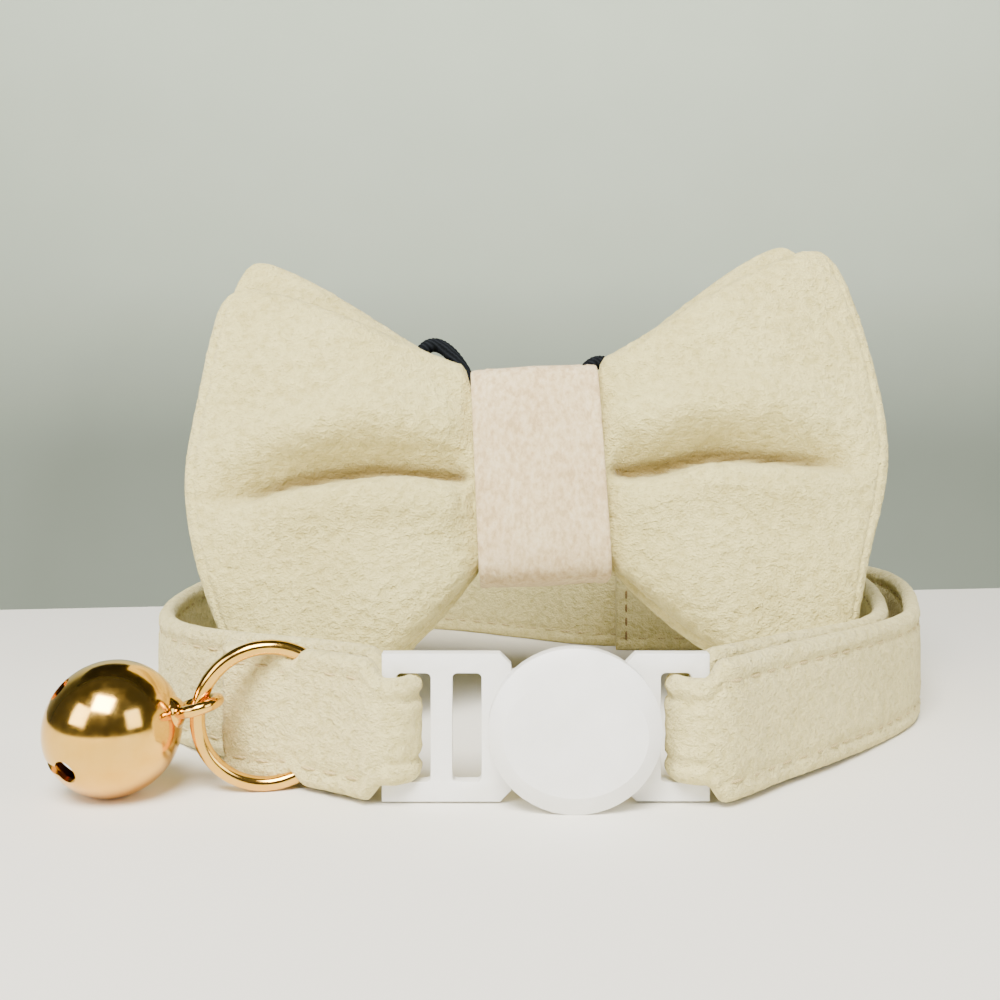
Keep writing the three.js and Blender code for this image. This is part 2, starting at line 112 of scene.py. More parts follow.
SLEEVE_THICKNESS = {
    "along": (0.0, 0.12, 0.4, 0.75, 1.0),
    "thick": (3.4, 4.9, 6.3, 4.9, 3.4),
}

INNER_LINE = (
    (11.8, 72.9), (21.8, 72.6), (31.8, 73.6), (40.3, 73.3), (45.8, 70.0), (47.8, 63.5),
    (47.0, 55.0), (45.2, 46.0), (43.0, 38.0), (40.9, 31.5), (38.2, 26.2), (33.6, 20.8),
    (26.1, 13.9), (18.4, 7.0),
)
OUTER_LINE = (
    (14.6, -1.3), (17.0, 0.6), (20.6, 4.1), (28.2, 10.9), (37.0, 20.4), (43.9, 29.4),
    (48.3, 41.2), (50.8, 49.3), (52.9, 60.1), (53.0, 67.0), (51.1, 73.5), (45.8, 77.0),
    (37.8, 77.3), (29.8, 76.7), (21.8, 75.7), (12.8, 75.9), (5.3, 78.0), (-4.2, 83.6),
    (-15.2, 89.8), (-25.2, 92.4), (-35.2, 90.6), (-43.2, 84.0), (-48.4, 74.0), (-50.3, 64.0),
    (-50.8, 54.0), (-50.9, 46.0), (-50.5, 39.0), (-49.6, 33.0), (-47.8, 26.6), (-44.5, 20.8),
    (-39.2, 15.2), (-32.0, 11.0), (-25.0, 7.7), (-21.2, 5.3),
)
FLAP_LINE = ((-22.9, 1.2), (-26.9, 3.5), (-33.9, 6.9), (-35.8, 8.0))

# The plan is drawn from the buckle's middle; the frame says where that is.
socket_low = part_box("buckle_socket")[0]
ORIGIN = Vector((socket_low[0] / MM - BUCKLE["left"], socket_low[1] / MM - DISC_FACE_Y, 0.0))


# ---- mesh helpers ----

def smooth(low, high, value):
    t = np.clip((value - low) / (high - low), 0.0, 1.0)
    return t * t * (3 - 2 * t)


def look_up(xs, ys, value):
    """A smooth curve through a short table, as in the part's source."""
    xs = np.asarray(xs)
    ys = np.asarray(ys)
    last = len(xs) - 1
    slope = np.array([
        (ys[min(i + 1, last)] - ys[max(i - 1, 0)]) / (xs[min(i + 1, last)] - xs[max(i - 1, 0)])
        for i in range(last + 1)
    ])
    row = np.clip(np.searchsorted(xs, value), 1, last)
    span = xs[row] - xs[row - 1]
    t = (value - xs[row - 1]) / span
    rise = ys[row] - ys[row - 1]
    bend_in = slope[row - 1] * span - rise
    bend_out = rise - slope[row] * span
    return ys[row - 1] + t * rise + t * (1 - t) * ((1 - t) * bend_in + t * bend_out)


def ripple(points, size, seed=0.0, stretch=(1.0, 1.0, 1.0)):
    """Smooth noise between -1 and 1 at each point, its features about size millimetres."""
    scale = np.asarray(stretch) / size
    shift = Vector((seed, -seed * 0.7, seed * 1.3))
    flat = points.reshape(-1, 3) * scale
    values = [noise.noise(Vector(p) + shift) for p in flat]
    return np.array(values).reshape(points.shape[:-1])


def wrap_normals(grid, wrap_rows=True):
    """Unit normals of a grid of points, from its neighbours."""
    if wrap_rows:
        across = np.roll(grid, -1, axis=1) - np.roll(grid, 1, axis=1)
    else:
        across = np.gradient(grid, axis=1)
    along = np.gradient(grid, axis=0)
    normal = np.cross(along, across)
    length = np.linalg.norm(normal, axis=2, keepdims=True)
    return normal / np.maximum(length, 1e-9)


def new_object(name, vertices, faces):
    mesh = bpy.data.meshes.new(name)
    mesh.from_pydata([tuple(v) for v in vertices], [], [tuple(f) for f in faces])
    mesh.validate()
    made = bpy.data.objects.new(name, mesh)
    bpy.context.scene.collection.objects.link(made)
    return made


def tube_faces(rings, sides, closed=False, flip=False):
    """Quads of a tube made of rings of points, with an end cap each way if it is open."""
    faces = []
    for i in range(rings if closed else rings - 1):
        here = i * sides
        there = ((i + 1) % rings) * sides
        for j in range(sides):
            k = (j + 1) % sides
            faces.append((here + j, there + j, there + k, here + k))
    if not closed:
        faces.append(tuple(range(sides)))
        faces.append(tuple(reversed(range((rings - 1) * sides, rings * sides))))
    if flip:
        faces = [tuple(reversed(face)) for face in faces]
    return faces


def shade(made, angle=None):
    for polygon in made.data.polygons:
        polygon.use_smooth = True
    if angle is not None:
        made.data.set_sharp_from_angle(angle=math.radians(angle))
    return made


def fix_normals(made):
    form = bmesh.new()
    form.from_mesh(made.data)
    bmesh.ops.remove_doubles(form, verts=form.verts, dist=1e-6)
    bmesh.ops.recalc_face_normals(form, faces=form.faces)
    form.to_mesh(made.data)
    form.free()
    return made


def apply_modifiers(made):
    graph = bpy.context.evaluated_depsgraph_get()
    flat = bpy.data.meshes.new_from_object(made.evaluated_get(graph))
    made.modifiers.clear()
    made.data = flat
    return made


def finish_piece(made, slot, look, *nodes):
    made.data.materials.clear()
    made.data.materials.append(look)
    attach(made, "root")
    if nodes:
        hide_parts(*nodes)
    return made


# ---- materials ----

class Look:
    """A node-based material, with short helpers for its nodes."""

    def __init__(self, name, color, roughness, metallic=0.0):
        self.material = bpy.data.materials.new(name)
        self.material.use_nodes = True
        self.tree = self.material.node_tree
        self.shader = self.tree.nodes["Principled BSDF"]
        self.place = self.add("ShaderNodeTexCoord").outputs["Object"]
        self.set("Base Color", (*color, 1.0))
        self.set("Roughness", roughness)
        self.set("Metallic", metallic)

    def add(self, kind, **values):
        node = self.tree.nodes.new(kind)
        for key, value in values.items():
            setattr(node, key, value)
        return node

    def set(self, socket, value):
        self.shader.inputs[socket].default_value = value

    def link(self, source, target):
        self.tree.links.new(source, target)

    def stretched(self, scale):
        node = self.add("ShaderNodeMapping")
        node.inputs["Scale"].default_value = scale
        self.link(self.place, node.inputs["Vector"])
        return node.outputs["Vector"]

    def noise(self, size, detail=2.0, place=None, roughness=0.5):
        node = self.add("ShaderNodeTexNoise")
        node.inputs["Scale"].default_value = 1.0 / (size * MM)
        node.inputs["Detail"].default_value = detail
        node.inputs["Roughness"].default_value = roughness
        self.link(place or self.place, node.inputs["Vector"])
        return node.outputs["Fac"]

    def ramp(self, value, stops):
        node = self.add("ShaderNodeValToRGB")
        ramp = node.color_ramp
        while len(ramp.elements) < len(stops):
            ramp.elements.new(0.5)
        for element, (at, color) in zip(ramp.elements, stops):
            element.position = at
            element.color = (*color, 1.0)
        self.link(value, node.inputs["Fac"])
        return node.outputs["Color"]

    def mix(self, factor, first, second, blend="MIX"):
        node = self.add("ShaderNodeMix", data_type="RGBA", blend_type=blend)
        if isinstance(factor, float):
            node.inputs["Factor"].default_value = factor
        else:
            self.link(factor, node.inputs["Factor"])
        for index, value in ((6, first), (7, second)):
            if isinstance(value, tuple):
                node.inputs[index].default_value = (*value, 1.0)
            else:
                self.link(value, node.inputs[index])
        return node.outputs[2]

    def bump(self, height, distance, strength=1.0, below=None):
        node = self.add("ShaderNodeBump")
        node.inputs["Strength"].default_value = strength
        node.inputs["Distance"].default_value = distance * MM
        self.link(height, node.inputs["Height"])
        if below is not None:
            self.link(below, node.inputs["Normal"])
        return node.outputs["Normal"]


def velvet_look(name, color, shade_color, pile=1.0, seed_size=1.0):
    look = Look(name, color, 0.9)
    grain = look.stretched((0.9, 1.0, 1.05))
    clumps = look.noise(1.15 * seed_size, 3.0, grain, 0.62)
    fibres = look.noise(0.28, 2.0, grain, 0.7)
    broad = look.noise(11.0, 2.0)
    light = tuple(min(1.0, c * 1.1) for c in color)
    base = look.ramp(clumps, ((0.34, shade_color), (0.5, color), (0.68, light)))
    broad_mix = look.ramp(broad, ((0.35, (0.93, 0.92, 0.88)), (0.65, (1.0, 1.0, 1.0))))
    toned = look.mix(1.0, base, broad_mix, "MULTIPLY")
    fine = look.ramp(fibres, ((0.3, (0.86, 0.85, 0.81)), (0.6, (1.0, 1.0, 1.0))))
    piled = look.mix(0.8, toned, fine, "MULTIPLY")
    # Painted shade in each wing's crease: the colour is pulled towards dark brown where the sleeve's crease mask
    # is high.
    crease_shade = look.add("ShaderNodeAttribute", attribute_name="crease_shade").outputs["Fac"]
    look.link(look.mix(crease_shade, piled, (0.19, 0.13, 0.035)), look.shader.inputs["Base Color"])
    low = look.bump(clumps, 0.8 * pile, 0.75)
    look.link(look.bump(fibres, 0.35 * pile, 0.8, low), look.shader.inputs["Normal"])
    look.set("Sheen Weight", 0.25)
    look.set("Sheen Roughness", 0.45)
    look.set("Sheen Tint", (1.0, 0.95, 0.78, 1.0))
    look.set("Specular IOR Level", 0.15)
    return look.material


def suede_look():
    look = Look("suede", (0.80, 0.69, 0.58), 0.92)
    nap = look.noise(0.9, 4.0, look.stretched((1.3, 1.0, 0.8)), 0.6)
    specks = look.noise(0.35, 2.0)
    broad = look.noise(6.0, 2.0)
    base = look.ramp(nap, ((0.36, (0.58, 0.42, 0.22)), (0.5, (0.70, 0.545, 0.30)), (0.66, (0.78, 0.64, 0.39))))
    tone = look.ramp(broad, ((0.35, (0.95, 0.92, 0.9)), (0.65, (1.0, 1.0, 1.0))))
    toned = look.mix(1.0, base, tone, "MULTIPLY")
    dots = look.ramp(specks, ((0.28, (0.86, 0.82, 0.78)), (0.42, (1.0, 1.0, 1.0))))
    look.link(look.mix(0.7, toned, dots, "MULTIPLY"), look.shader.inputs["Base Color"])
    low = look.bump(nap, 0.25, 0.5)
    look.link(look.bump(specks, 0.12, 0.5, low), look.shader.inputs["Normal"])
    look.set("Sheen Weight", 0.2)
    look.set("Sheen Roughness", 0.5)
    look.set("Specular IOR Level", 0.15)
    return look.material


def plastic_look():
    look = Look("white_plastic", (0.87, 0.86, 0.81), 0.38)
    cloud = look.noise(3.0, 3.0)
    tone = look.ramp(cloud, ((0.3, (0.84, 0.83, 0.78)), (0.7, (0.89, 0.88, 0.84))))
    look.link(tone, look.shader.inputs["Base Color"])
    wear = look.ramp(look.noise(1.2, 4.0), ((0.3, (0.34, 0.34, 0.34)), (0.7, (0.46, 0.46, 0.46))))
    look.link(wear, look.shader.inputs["Roughness"])
    look.link(look.bump(look.noise(0.5, 3.0), 0.01, 0.5), look.shader.inputs["Normal"])
    look.set("Subsurface Weight", 0.25)
    look.set("Subsurface Radius", (1.0, 0.95, 0.85))
    look.set("Subsurface Scale", 1.2 * MM)
    return look.material


def gold_look():
    look = Look("rose_gold", (0.86, 0.54, 0.28), 0.13, 1.0)
    wear = look.noise(2.2, 4.0)
    tone = look.ramp(wear, ((0.3, (0.80, 0.45, 0.07)), (0.7, (0.85, 0.51, 0.11))))
    look.link(tone, look.shader.inputs["Base Color"])
    gloss = look.ramp(look.noise(0.8, 3.0), ((0.3, (0.1, 0.1, 0.1)), (0.75, (0.19, 0.19, 0.19))))
    look.link(gloss, look.shader.inputs["Roughness"])
    look.link(look.bump(look.noise(2.8, 2.0), 0.02, 0.35), look.shader.inputs["Normal"])
    return look.material


def elastic_look():
    look = Look("black_elastic", (0.012, 0.014, 0.018), 0.9)
    look.set("Specular IOR Level", 0.1)
    wave = look.add("ShaderNodeTexWave", bands_direction="DIAGONAL")
    wave.inputs["Scale"].default_value = 700.0
    wave.inputs["Distortion"].default_value = 2.0
    look.link(look.place, wave.inputs["Vector"])
    tone = look.ramp(wave.outputs["Fac"], ((0.2, (0.004, 0.005, 0.006)), (0.8, (0.012, 0.014, 0.017))))
    look.link(tone, look.shader.inputs["Base Color"])
    look.link(look.bump(wave.outputs["Fac"], 0.15, 0.8), look.shader.inputs["Normal"])
    return look.material


def thread_look(name, color):
    look = Look(name, color, 0.7)
    twist = look.add("ShaderNodeTexWave", bands_direction="DIAGONAL")
    twist.inputs["Scale"].default_value = 1500.0
    look.link(look.place, twist.inputs["Vector"])
    dark = tuple(c * 0.75 for c in color)
    look.link(look.ramp(twist.outputs["Fac"], ((0.2, dark), (0.8, color))), look.shader.inputs["Base Color"])
    look.link(look.bump(twist.outputs["Fac"], 0.05, 0.8), look.shader.inputs["Normal"])
    return look.material


VELVET = velvet_look("cream_velvet", (0.74, 0.65, 0.28), (0.65, 0.56, 0.22))
STRAP_VELVET = velvet_look("strap_velvet", (0.75, 0.66, 0.31), (0.66, 0.57, 0.24), 1.0, 0.8)
SUEDE = suede_look()
PLASTIC = plastic_look()
GOLD = gold_look()
ELASTIC_BLACK = elastic_look()
THREAD = thread_look("cream_thread", (0.62, 0.49, 0.22))
SEAM_THREAD = thread_look("brown_thread", (0.30, 0.19, 0.07))


# ---- strap ----

def bend_points(x, start, end):
    return [
        (x + STRAP["bend"] * math.cos(start + (end - start) * k / 4),
         BUCKLE["middle"] + STRAP["bend"] * math.sin(start + (end - start) * k / 4))
        for k in range(5)
    ]


RIGHT_BEND = (BUCKLE["plug_slot_to"] + BUCKLE["right"] - 0.8) / 2 + 0.1
LEFT_BEND = (BUCKLE["left"] + BUCKLE["slot_from"]) / 2


def centripetal(points, per_span=60):
    """A centripetal Catmull-Rom curve through the points, sampled finely."""
    points = np.array(points)
    points = np.vstack([2 * points[0] - points[1], points, 2 * points[-1] - points[-2]])
    out = []
    for i in range(1, len(points) - 2):
        p0, p1, p2, p3 = points[i - 1:i + 3]
        t01, t12, t23 = (np.linalg.norm(b - a) ** 0.5 for a, b in ((p0, p1), (p1, p2), (p2, p3)))
        m1 = (p1 - p0) / t01 - (p2 - p0) / (t01 + t12) + (p2 - p1) / t12
        m2 = (p2 - p1) / t12 - (p3 - p1) / (t12 + t23) + (p3 - p2) / t23
        m1, m2 = m1 * t12, m2 * t12
        t = np.linspace(0, 1, per_span, endpoint=False)[:, None]
        out.append(
            (2 * t**3 - 3 * t**2 + 1) * p1 + (t**3 - 2 * t**2 + t) * m1
            + (3 * t**2 - 2 * t**3) * p2 + (t**3 - t**2) * m2
        )
    out.append(points[-2][None, :])
    return np.vstack(out)


def strap_line(spacing):
    """Evenly spaced points of the strap's middle line, their normals and their distances."""
    raw = centripetal([
        *INNER_LINE,
        *bend_points(RIGHT_BEND, math.pi / 2, math.pi * 1.5),
        *OUTER_LINE,
        *bend_points(LEFT_BEND, math.pi / 2, -math.pi / 2),
        *FLAP_LINE,
    ])
    travelled = np.concatenate([[0], np.cumsum(np.linalg.norm(np.diff(raw, axis=0), axis=1))])
    steps = np.linspace(0, travelled[-1], int(travelled[-1] / spacing))
    line = np.stack([np.interp(steps, travelled, raw[:, k]) for k in (0, 1)], axis=1)
    along = np.gradient(line, axis=0)
    along /= np.linalg.norm(along, axis=1, keepdims=True)
    normal = np.stack([-along[:, 1], along[:, 0]], axis=1)
    return line, normal, steps


STITCH_INSET = 2.1
FLAP_LENGTH = 16.0


def ring_crossing(line, steps):
    """Where along the flap the ring's wire crosses it."""
    turn = math.radians(RING["turn"])
    off = (line[:, 1] - RING["y"]) * math.cos(turn) - (line[:, 0] - RING["x"]) * math.sin(turn)
    on_flap = steps > steps[-1] - FLAP_LENGTH
    return steps[np.argmin(np.where(on_flap, np.abs(off), 99.0))]


def strap_widths(line, steps):
    x, y = line[:, 0], line[:, 1]
    past = np.where(x < 0, LEFT_BEND - x, x - RIGHT_BEND)
    widen = np.where(y > STRAP["lift_to"], 1.0, smooth(STRAP["taper_from"], STRAP["taper_to"], past))
    half = (STRAP["slot_width"] + (STRAP["width"] - STRAP["slot_width"]) * widen) / 2
    pinch = np.exp(-((steps - ring_crossing(line, steps)) / 0.9) ** 2)
    half -= 1.2 * pinch * (steps > steps[-1] - FLAP_LENGTH)
    middle = STRAP["width"] / 2 + STRAP["lift"] * (1 - smooth(STRAP["lift_from"], STRAP["lift_to"], y))
    return half, middle, widen


def strap_section(count):
    """Places round the strap's section: across its width (-1 to 1) and which face."""
    angle = np.linspace(0, 2 * math.pi, count, endpoint=False)
    across = np.sin(angle)
    face = np.cos(angle)
    flat = np.sign(across) * np.abs(across) ** 0.8
    return flat, face


def strap_piece():
    line, normal, steps = strap_line(0.5)
    half, middle, widen = strap_widths(line, steps)
    across, face = strap_section(60)
    b = across[None, :] * half[:, None]
    from_edge = half[:, None] - np.abs(b)
    round_off = np.sqrt(np.clip(1 - (1 - np.clip(from_edge / 1.1, 0, 1)) ** 2, 0, 1))
    seam = np.exp(-((from_edge - STITCH_INSET) / 0.42) ** 2)
    thick = (STRAP["thick"] / 2) * round_off * (1 - 0.34 * seam)
    out = np.sign(face)[None, :] * thick
    out[:, np.abs(face) < 1e-6] = 0.0
    shape = np.stack([
        line[:, None, 0] + normal[:, None, 0] * out,
        line[:, None, 1] + normal[:, None, 1] * out,
        middle[:, None] + b,
    ], axis=2)
    push = wrap_normals(shape)
    probe = np.stack([
        np.broadcast_to(steps[:, None], b.shape), b, np.broadcast_to(face[None, :] * 3, b.shape),
    ], axis=2)
    pucker = ripple(probe, 3.2, 5.0, (1.0, 0.4, 1.0)) * (0.2 + 0.6 * seam)
    pile = ripple(probe, 0.9, 9.0) * 0.1
    fuzz = ripple(probe, 0.45, 2.0) * 0.08
    gather = np.cos(b * 3.3 + ripple(probe, 5.0, 1.0) * 2.0) * (1 - widen)[:, None] * 0.05
    pucker *= (0.25 + 0.75 * widen)[:, None]
    outward = (0.32 * pucker + pile + fuzz + gather) * np.clip(from_edge / 0.4, 0.35, 1)
    side = np.sign(np.sum(push[..., :2] * normal[:, None, :], axis=2, keepdims=True) * face[None, :, None])
    side[side == 0] = 1
    shape = shape + push * side * outward[..., None]
    shape[..., 2] = np.maximum(shape[..., 2], 0.02)
    points = (shape + np.array(ORIGIN)) * MM
    rings, sides = b.shape
    made = new_object("strap_velvet", points.reshape(-1, 3), tube_faces(rings, sides))
    fix_normals(made)
    finish_piece(shade(made), "velvet", STRAP_VELVET, "collar_strap")


def stitch(centre, along, up, length, width, sides=6, rings=6):
    """One stitch: a short thread that dips into the cloth at both ends."""
    across = np.cross(along, up)
    points = []
    for i in range(rings):
        t = i / (rings - 1)
        arch = math.sin(math.pi * t)
        radius = width / 2 * (0.35 + 0.65 * arch ** 0.5)
        base = centre + along * (t - 0.5) * length + up * (arch - 0.75) * width * 0.75
        for j in range(sides):
            angle = 2 * math.pi * j / sides
            points.append(base + (across * math.cos(angle) + up * math.sin(angle)) * radius)
    return points, tube_faces(rings, sides)


def add_stitch(store, *args):
    points, faces = stitch(*args)
    start = len(store["points"])
    store["points"].extend(points)
    store["faces"].extend(tuple(start + k for k in face) for face in faces)


def strap_stitches():
    """Two rows of stitches on each face of the strap."""
    line, normal, steps = strap_line(0.1)
    half, middle, widen = strap_widths(line, steps)
    store = {"points": [], "faces": []}
    pitch, length = 2.9, 2.3
    lifted = STRAP["thick"] / 2 * 0.66 + 0.05
    for place in np.arange(1.5, steps[-1] - 1.5, pitch):
        i = int(np.searchsorted(steps, place))
        if widen[i] < 0.9:
            continue
        along = np.array([normal[i, 1], -normal[i, 0], 0.0])
        for row in (-1, 1):
            height = middle[i] + row * (half[i] - STITCH_INSET)
            for side in (-1, 1):
                up = np.array([normal[i, 0] * side, normal[i, 1] * side, 0.0])
                centre = np.array([line[i, 0], line[i, 1], height]) + up * lifted
                add_stitch(store, centre, along, up, length, 0.34)
    points = (np.array(store["points"]) + np.array(ORIGIN)) * MM
    made = new_object("strap_stitches", points, store["faces"])
    fix_normals(made)
    return finish_piece(shade(made), "velvet", THREAD)


def seam_stitches():
    """The upright seam that holds down the strap's doubled end at the back."""
    line, normal, steps = strap_line(0.1)
    half, middle, _ = strap_widths(line, steps)
    store = {"points": [], "faces": []}
    i = int(np.searchsorted(steps, 1.6))
    along = np.array([0.0, 0.0, 1.0])
    for k in range(5):
        height = middle[i] + (k - 2) * 2.2
        for side in (-1, 1):
            up = np.array([normal[i, 0] * side, normal[i, 1] * side, 0.0])
            centre = np.array([line[i, 0], line[i, 1], height]) + up * (STRAP["thick"] / 2 + 0.02)
            add_stitch(store, centre, along, up, 1.8, 0.36)
    points = (np.array(store["points"]) + np.array(ORIGIN)) * MM
    made = new_object("seam_stitches", points, store["faces"])
    fix_normals(made)
    return finish_piece(shade(made), "velvet", SEAM_THREAD)


# ---- bow ----

BOW_PLACE = (
    Matrix.Translation((Vector(BOW["at"]) + ORIGIN) * MM)
    @ Matrix.Rotation(-math.radians(BOW["lean"]), 4, "X")
    @ Matrix.Rotation(-math.radians(BOW["tilt"]), 4, "Y")
)


def put_in_bow(made):
    made.data.transform(BOW_PLACE)
    return made


def crease_dent(up, along):
    """The crease across a wing: it comes in slowly from above and sharply from below."""
    fade = (1 - smooth(0.72, 0.99, along)) * smooth(0.0, 0.08, along)
    wide = np.where(up > 0, 3.6, 1.0)
    return fade * (0.6 * np.exp(-((up / wide) ** 2)) + 0.14 * np.exp(-((up / 0.55) ** 2)))


def sleeve_points(name, u, v, side):
    sleeve = SLEEVES[name]
    reach = np.abs(u)
    pinch = BOW["pinch_half"] / 45
    along = np.clip((reach - pinch) / (1 - pinch), 0, 1)
    left, right = (look_up(WING_EDGES["at"], edge, v) for edge in WING_EDGES[name])
    edge = np.where(u < 0, left, right)
    corner = BLUNT * v ** 12 * along ** 12
    wing_x = BOW["pinch_half"] + along * (edge - BOW["pinch_half"]) - corner
    x = np.sign(u) * np.where(reach < pinch, reach / pinch * BOW["pinch_half"], wing_x)
    above = np.where(u < 0, sleeve["left"], sleeve["right"])
    outer = np.where(v > 0, above, sleeve["below"])
    spread = 1 - (1 - along) ** np.where(v > 0, SPREAD["above"], SPREAD["below"])
    puff = 2.8 * np.exp(-along / 0.2) * smooth(0.0, 0.03, along) * (v > 0)
    z = v * (BOW["pinch_height"] + puff + (outer - BOW["pinch_height"]) * spread - corner)
    full = look_up(SLEEVE_THICKNESS["along"], SLEEVE_THICKNESS["thick"], along)
    rim = np.sqrt(np.clip(1 - v ** 10, 0, 1)) * np.sqrt(np.clip(1 - along ** 16, 0, 1))
    outside = side == sleeve["side"]
    up = z - look_up(CREASE["x"], CREASE["up"], x)
    dent = crease_dent(up, along) if outside else 0.15 * crease_dent(up, along)
    half = full / 2
    swell = 1.2 * np.exp(-((up - 6.5) / 4.0) ** 2) + 1.0 * np.exp(-((up + 4.0) / 2.8) ** 2)
    swell = swell * smooth(0.0, 0.1, along) * (1 - smooth(0.6, 0.95, along)) * outside
    y = sleeve["side"] * (BOW["gap"] + half) + side * (half + swell - full * dent) * rim
    # Painted shade: a mask along the crease, narrow below it and wider above it, that later darkens the velvet's
    # colour there.
    fade = (1 - smooth(0.62, 0.95, along)) * smooth(0.0, 0.05, along) * outside
    crease_shade = fade * np.exp(-((up / np.where(up > 0, 1.5, 0.45)) ** 2))
    return np.stack([x, y, z], axis=2), along, rim, crease_shade


def sleeve_piece(name, node):
    sleeve = SLEEVES[name]
    columns, rows = 220, 130
    spread = lambda n: np.sin((np.arange(n + 1) / n - 0.5) * math.pi * 0.999) / math.sin(math.pi * 0.4995)
    u, v = np.meshgrid(spread(columns), spread(rows), indexing="ij")
    all_points = []
    crease_shades = []
    for side in (-1, 1):
        points, along, rim, crease_shade = sleeve_points(name, u, v, side)
        crease_shades.append(crease_shade.ravel())
        push = wrap_normals(points, False)
        push = push * np.sign(push[..., 1:2] * side + 1e-9)
        outside = side == sleeve["side"]
        billow = ripple(points, 13.0, sleeve["seed"]) * 0.5
        dents = ripple(points, 4.5, sleeve["seed"] + 4) * 0.2
        pile = ripple(points, 1.1, sleeve["seed"] + 8) * 0.15
        fuzz = ripple(points, 0.55, sleeve["seed"] + 11) * 0.1
        fan = np.cos(v * 9.0 + u * 3.0 + sleeve["seed"]) * np.exp(-along / 0.2) * smooth(0, 0.05, along) * 0.35
        hem = -0.3 * np.exp(-((along - 0.965) / 0.008) ** 2)
        free = smooth(0.0, 0.12, along)
        depth = free * (billow * 0.9 + dents) + fan * free + hem * (1 if outside else 0)
        if not outside:
            depth = np.minimum(depth, 0.0) * 0.3
        points = points + push * ((depth * rim) + pile + fuzz)[..., None] * smooth(0.0, 0.25, rim)[..., None]
        all_points.append(points)
    seam = (all_points[0][[0, -1]] + all_points[1][[0, -1]]) / 2
    for points in all_points:
        points[[0, -1]] = seam
        points[:, [0, -1]] = (all_points[0][:, [0, -1]] + all_points[1][:, [0, -1]]) / 2
    stride = rows + 1
    back = (columns + 1) * stride
    faces = []
    for i in range(columns):
        for j in range(rows):
            a = i * stride + j
            quad = (a, a + stride, a + stride + 1, a + 1)
            faces.append(quad)
            faces.append(tuple(back + k for k in reversed(quad)))
    points = np.concatenate([p.reshape(-1, 3) for p in all_points]) * MM
    made = put_in_bow(new_object(f"bow_sleeve_{name}", points, faces))
    # The crease mask of painted shade is stored on the points for the velvet material.
    made.data.attributes.new("crease_shade", "FLOAT", "POINT").data.foreach_set("value", np.concatenate(crease_shades))
    fix_normals(made)
    finish_piece(shade(made), "velvet", VELVET, node)


def knot_piece():
    """The band round the bow's middle: a flat strip, closed on itself, a little bulged."""
    turns, sides = 260, 72
    t = np.linspace(0, 2 * math.pi, turns, endpoint=False)[:, None]
    angle = np.linspace(0, 2 * math.pi, sides, endpoint=False)[None, :]
    power = 2 / 5.5
    power_flat = 2 / 9.0
    half_w = KNOT["width"] / 2
    half_t = KNOT["wall"] / 2
    across = np.sign(np.sin(angle)) * np.abs(np.sin(angle)) ** power_flat * half_w
    through = np.sign(np.cos(angle)) * np.abs(np.cos(angle)) ** power_flat * half_t

    def oval(a, b):
        y = np.sign(np.cos(t)) * np.abs(np.cos(t)) ** power * a
        z = np.sign(np.sin(t)) * np.abs(np.sin(t)) ** power * b
        return y, z

    a, b = KNOT["depth"] / 2 - half_t, KNOT["height"] / 2 - half_t
    y, z = oval(a, b)
    ny = np.sign(np.cos(t)) * np.abs(np.cos(t)) ** (2 - power) / a
    nz = np.sign(np.sin(t)) * np.abs(np.sin(t)) ** (2 - power) / b
    size = np.sqrt(ny**2 + nz**2)
    ny, nz = ny / size, nz / size
    share = np.broadcast_to(across, (turns, sides)) / half_w
    groove = -0.16 * np.exp(-((np.abs(share) - 0.8) / 0.03) ** 2)
    bulge = 0.35 * (1 - share**2) * np.clip(-ny, 0, 1)
    points = np.stack([
        np.broadcast_to(across, (turns, sides)),
        y + ny * through,
        z + nz * through,
    ], axis=2)
    outer = (through > 0) * 1.0
    wave = ripple(points, 6.0, 3.3, (1.6, 1.0, 0.6)) * 0.28 + ripple(points, 0.8, 8.0) * 0.05
    lift = (groove + bulge + wave) * outer
    points[..., 1] += ny * lift
    points[..., 2] += nz * lift
    made = new_object("bow_knot_band", points.reshape(-1, 3) * MM, tube_faces(turns, sides, True))
    put_in_bow(fix_normals(made))
    finish_piece(shade(made), "suede", SUEDE, "bow_knot")


def elastic_piece(side):
    loop = ELASTIC_LOOPS[side]
    turns, sides = 160, 20
    t = np.linspace(0, 2 * math.pi, turns, endpoint=False)[:, None]
    angle = np.linspace(0, 2 * math.pi, sides, endpoint=False)[None, :]
    a, b, wire = ELASTIC["half_width"], ELASTIC["half_height"], ELASTIC["wire"]
    nx, nz = np.cos(t) / a, np.sin(t) / b
    size = np.sqrt(nx**2 + nz**2)
    nx, nz = nx / size, nz / size
    braid = 1 + 0.05 * np.sin(t * 90 + angle * 3)
    points = np.stack([
        a * np.cos(t) + nx * np.cos(angle) * wire * braid,
        np.sin(angle) * wire * braid,
        b * np.sin(t) + nz * np.cos(angle) * wire * braid,
    ], axis=2)
    made = new_object(f"elastic_cord_{side}", points.reshape(-1, 3) * MM, tube_faces(turns, sides, True))
    made.data.transform(
        Matrix.Translation(Vector((loop["x"], ELASTIC["y"], loop["z"])) * MM)
        @ Matrix.Rotation(math.radians(loop["lean"]), 4, "Y")
    )
    put_in_bow(fix_normals(made))
    return finish_piece(shade(made), "elastic", ELASTIC_BLACK, f"elastic_loop_{side}")


# ---- buckle, ring and bell ----

